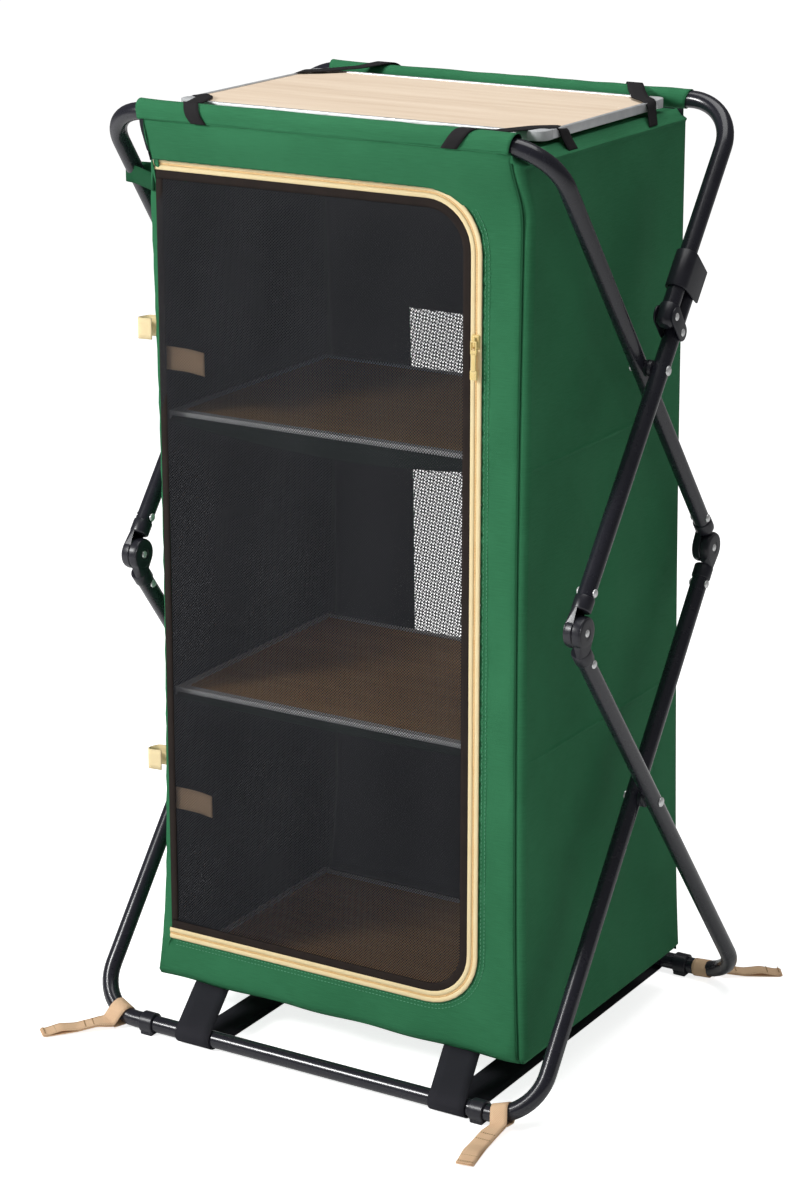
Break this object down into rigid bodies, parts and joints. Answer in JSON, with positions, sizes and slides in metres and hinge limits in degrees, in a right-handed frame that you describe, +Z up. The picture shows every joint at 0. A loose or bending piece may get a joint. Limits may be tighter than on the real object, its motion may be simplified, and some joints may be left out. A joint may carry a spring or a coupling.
{
  "type": "folding camping shelf cabinet",
  "caption": "Fabric cabinet with shelves and a zipped net door, hung in a folding frame of crossed steel tubes with sliding locks and a board top.",
  "frame": {"origin": "on the ground, below the middle of the whole object", "axes": "+Z up, door towards -Y, +X to the right as seen from the front"},
  "size_m": [0.58, 0.629, 1.0006],
  "materials": {
    "painted_steel": "semi-gloss dark charcoal paint",
    "black_plastic": "moulded, satin",
    "bright_steel": "bright zinc",
    "green_cloth": "woven polyester",
    "black_net": "fine net",
    "black_webbing": "ribbed webbing",
    "tan_webbing": "ribbed webbing",
    "cream_tape": "zip tape",
    "pale_board": "light veneer, satin",
    "aluminium": "satin"
  },
  "bodies": {
    "cabinet": {"side_wall_left": "green_cloth", "side_wall_right": "green_cloth", "back_wall": "green_cloth", "back_window_net": "black_net", "front_wall": "green_cloth", "bottom_cloth": "green_cloth", "floor_board": "pale_board", "floor_edge": "aluminium", "zip_tape": "cream_tape", "door_tie_upper": "cream_tape", "door_tie_lower": "cream_tape", "base_strap_left": "black_webbing", "base_strap_right": "black_webbing", "foot_clip_front_left": "black_plastic", "foot_clip_front_right": "black_plastic", "ground_loop_front_left": "tan_webbing", "ground_loop_front_right": "tan_webbing"},
    "lower_frame_front": {"front_lower_bow": "painted_steel", "back_knee_lower_left": "black_plastic", "back_knee_lower_right": "black_plastic", "cross_pin_lower_left": "bright_steel", "cross_pin_lower_right": "bright_steel"},
    "lower_frame_back": {"back_lower_bow": "painted_steel", "front_knee_lower_left": "black_plastic", "front_knee_lower_right": "black_plastic"},
    "upper_frame_front": {"front_upper_bow": "painted_steel", "rail_sleeve_front": "green_cloth", "back_knee_upper_left": "black_plastic", "back_knee_upper_right": "black_plastic", "cross_pin_upper_left": "bright_steel", "cross_pin_upper_right": "bright_steel"},
    "struts": {"back_strut_left": "painted_steel", "back_strut_right": "painted_steel", "front_knee_upper_left": "black_plastic", "front_knee_upper_right": "black_plastic", "hinge_clamp_left": "painted_steel", "hinge_clamp_right": "painted_steel"},
    "upper_frame_back": {"back_upper_bow": "painted_steel", "rail_sleeve_back": "green_cloth"},
    "lock_left": {"sliding_lock_left": "black_plastic"},
    "lock_right": {"sliding_lock_right": "black_plastic"},
    "back_feet": {"foot_clip_back_left": "black_plastic", "foot_clip_back_right": "black_plastic", "ground_loop_back_left": "tan_webbing", "ground_loop_back_right": "tan_webbing"},
    "lower_shelf": {"lower_shelf_board": "pale_board", "lower_shelf_edge": "aluminium"},
    "upper_shelf": {"upper_shelf_board": "pale_board", "upper_shelf_edge": "aluminium"},
    "table": {"table_board": "pale_board", "table_edge": "aluminium", "top_cloth": "green_cloth", "corner_strap_front_left": "black_webbing", "corner_strap_front_right": "black_webbing", "corner_strap_back_left": "black_webbing", "corner_strap_back_right": "black_webbing"},
    "door": {"door_panel": "black_net"},
    "zip_slider": {"zip_slider": "bright_steel"},
    "zip_pull": {"zip_pull": "tan_webbing"}
  },
  "joints": [
    {"name": "frame_fold", "type": "hinge", "parent": "cabinet", "child": "lower_frame_front", "pos_m": [0, -0.21749, 0.012], "axis": [-1, 0, 0], "range_deg": [0, 50], "deforming": ["side_wall_left", "side_wall_right", "back_wall", "back_window_net", "front_wall", "top_cloth", "door_panel", "zip_tape", "zip_slider", "zip_pull", "door_tie_upper", "door_tie_lower", "base_strap_left", "base_strap_right"]},
    {"name": "cross_lower_turn", "type": "hinge", "parent": "lower_frame_front", "child": "lower_frame_back", "pos_m": [0, 0, 0.291], "axis": [1, 0, 0], "range_deg": [0, 100]},
    {"name": "knee_back_turn", "type": "hinge", "parent": "lower_frame_front", "child": "upper_frame_front", "pos_m": [0, 0.16517, 0.51833], "axis": [1, 0, 0], "range_deg": [0, 100]},
    {"name": "knee_front_turn", "type": "hinge", "parent": "lower_frame_back", "child": "struts", "pos_m": [0, -0.16517, 0.51833], "axis": [-1, 0, 0], "range_deg": [0, 100]},
    {"name": "back_bow_turn", "type": "hinge", "parent": "struts", "child": "upper_frame_back", "pos_m": [0, 0.01238, 0.79815], "axis": [1, 0, 0], "range_deg": [0, 170]},
    {"name": "back_feet_turn", "type": "hinge", "parent": "lower_frame_back", "child": "back_feet", "pos_m": [0, 0.21749, 0.012], "axis": [-1, 0, 0], "range_deg": [0, 50]},
    {"name": "lower_shelf_drop", "type": "slide", "parent": "cabinet", "child": "lower_shelf", "axis": [0, 0, -1], "range_m": [0, 0.3026]},
    {"name": "upper_shelf_drop", "type": "slide", "parent": "cabinet", "child": "upper_shelf", "axis": [0, 0, -1], "range_m": [0, 0.5941]},
    {"name": "table_drop", "type": "slide", "parent": "cabinet", "child": "table", "axis": [0, 0, -1], "range_m": [0, 0.8979]},
    {"name": "lock_left_slide", "type": "slide", "parent": "upper_frame_back", "child": "lock_left", "axis": [0, 0.6148, 0.7887], "range_m": [0, 0.06]},
    {"name": "lock_right_slide", "type": "slide", "parent": "upper_frame_back", "child": "lock_right", "axis": [0, 0.6148, 0.7887], "range_m": [0, 0.06]},
    {"name": "door_swing", "type": "hinge", "parent": "cabinet", "child": "door", "pos_m": [-0.2095, -0.1735, 0.518], "axis": [0, 0, -1], "range_deg": [0, 110]},
    {"name": "zip_slide", "type": "slide", "parent": "cabinet", "child": "zip_slider", "axis": [0, 0, -1], "range_m": [-0.07, 0.62]},
    {"name": "zip_pull_swing", "type": "hinge", "parent": "zip_slider", "child": "zip_pull", "pos_m": [0.1625, -0.1802, 0.795], "axis": [-1, 0, 0], "range_deg": [0, 90]}
  ],
  "couplings": [
    {"joint": "cross_lower_turn", "follows": "frame_fold", "ratio": 2},
    {"joint": "knee_back_turn", "follows": "frame_fold", "ratio": 2},
    {"joint": "knee_front_turn", "follows": "frame_fold", "ratio": 2},
    {"joint": "back_bow_turn", "follows": "frame_fold", "ratio": 3.4},
    {"joint": "back_feet_turn", "follows": "frame_fold", "ratio": 1},
    {"joint": "lower_shelf_drop", "follows": "frame_fold", "m_per_rad": 0.34664},
    {"joint": "upper_shelf_drop", "follows": "frame_fold", "m_per_rad": 0.68067},
    {"joint": "table_drop", "follows": "frame_fold", "m_per_rad": 1.0288}
  ]
}
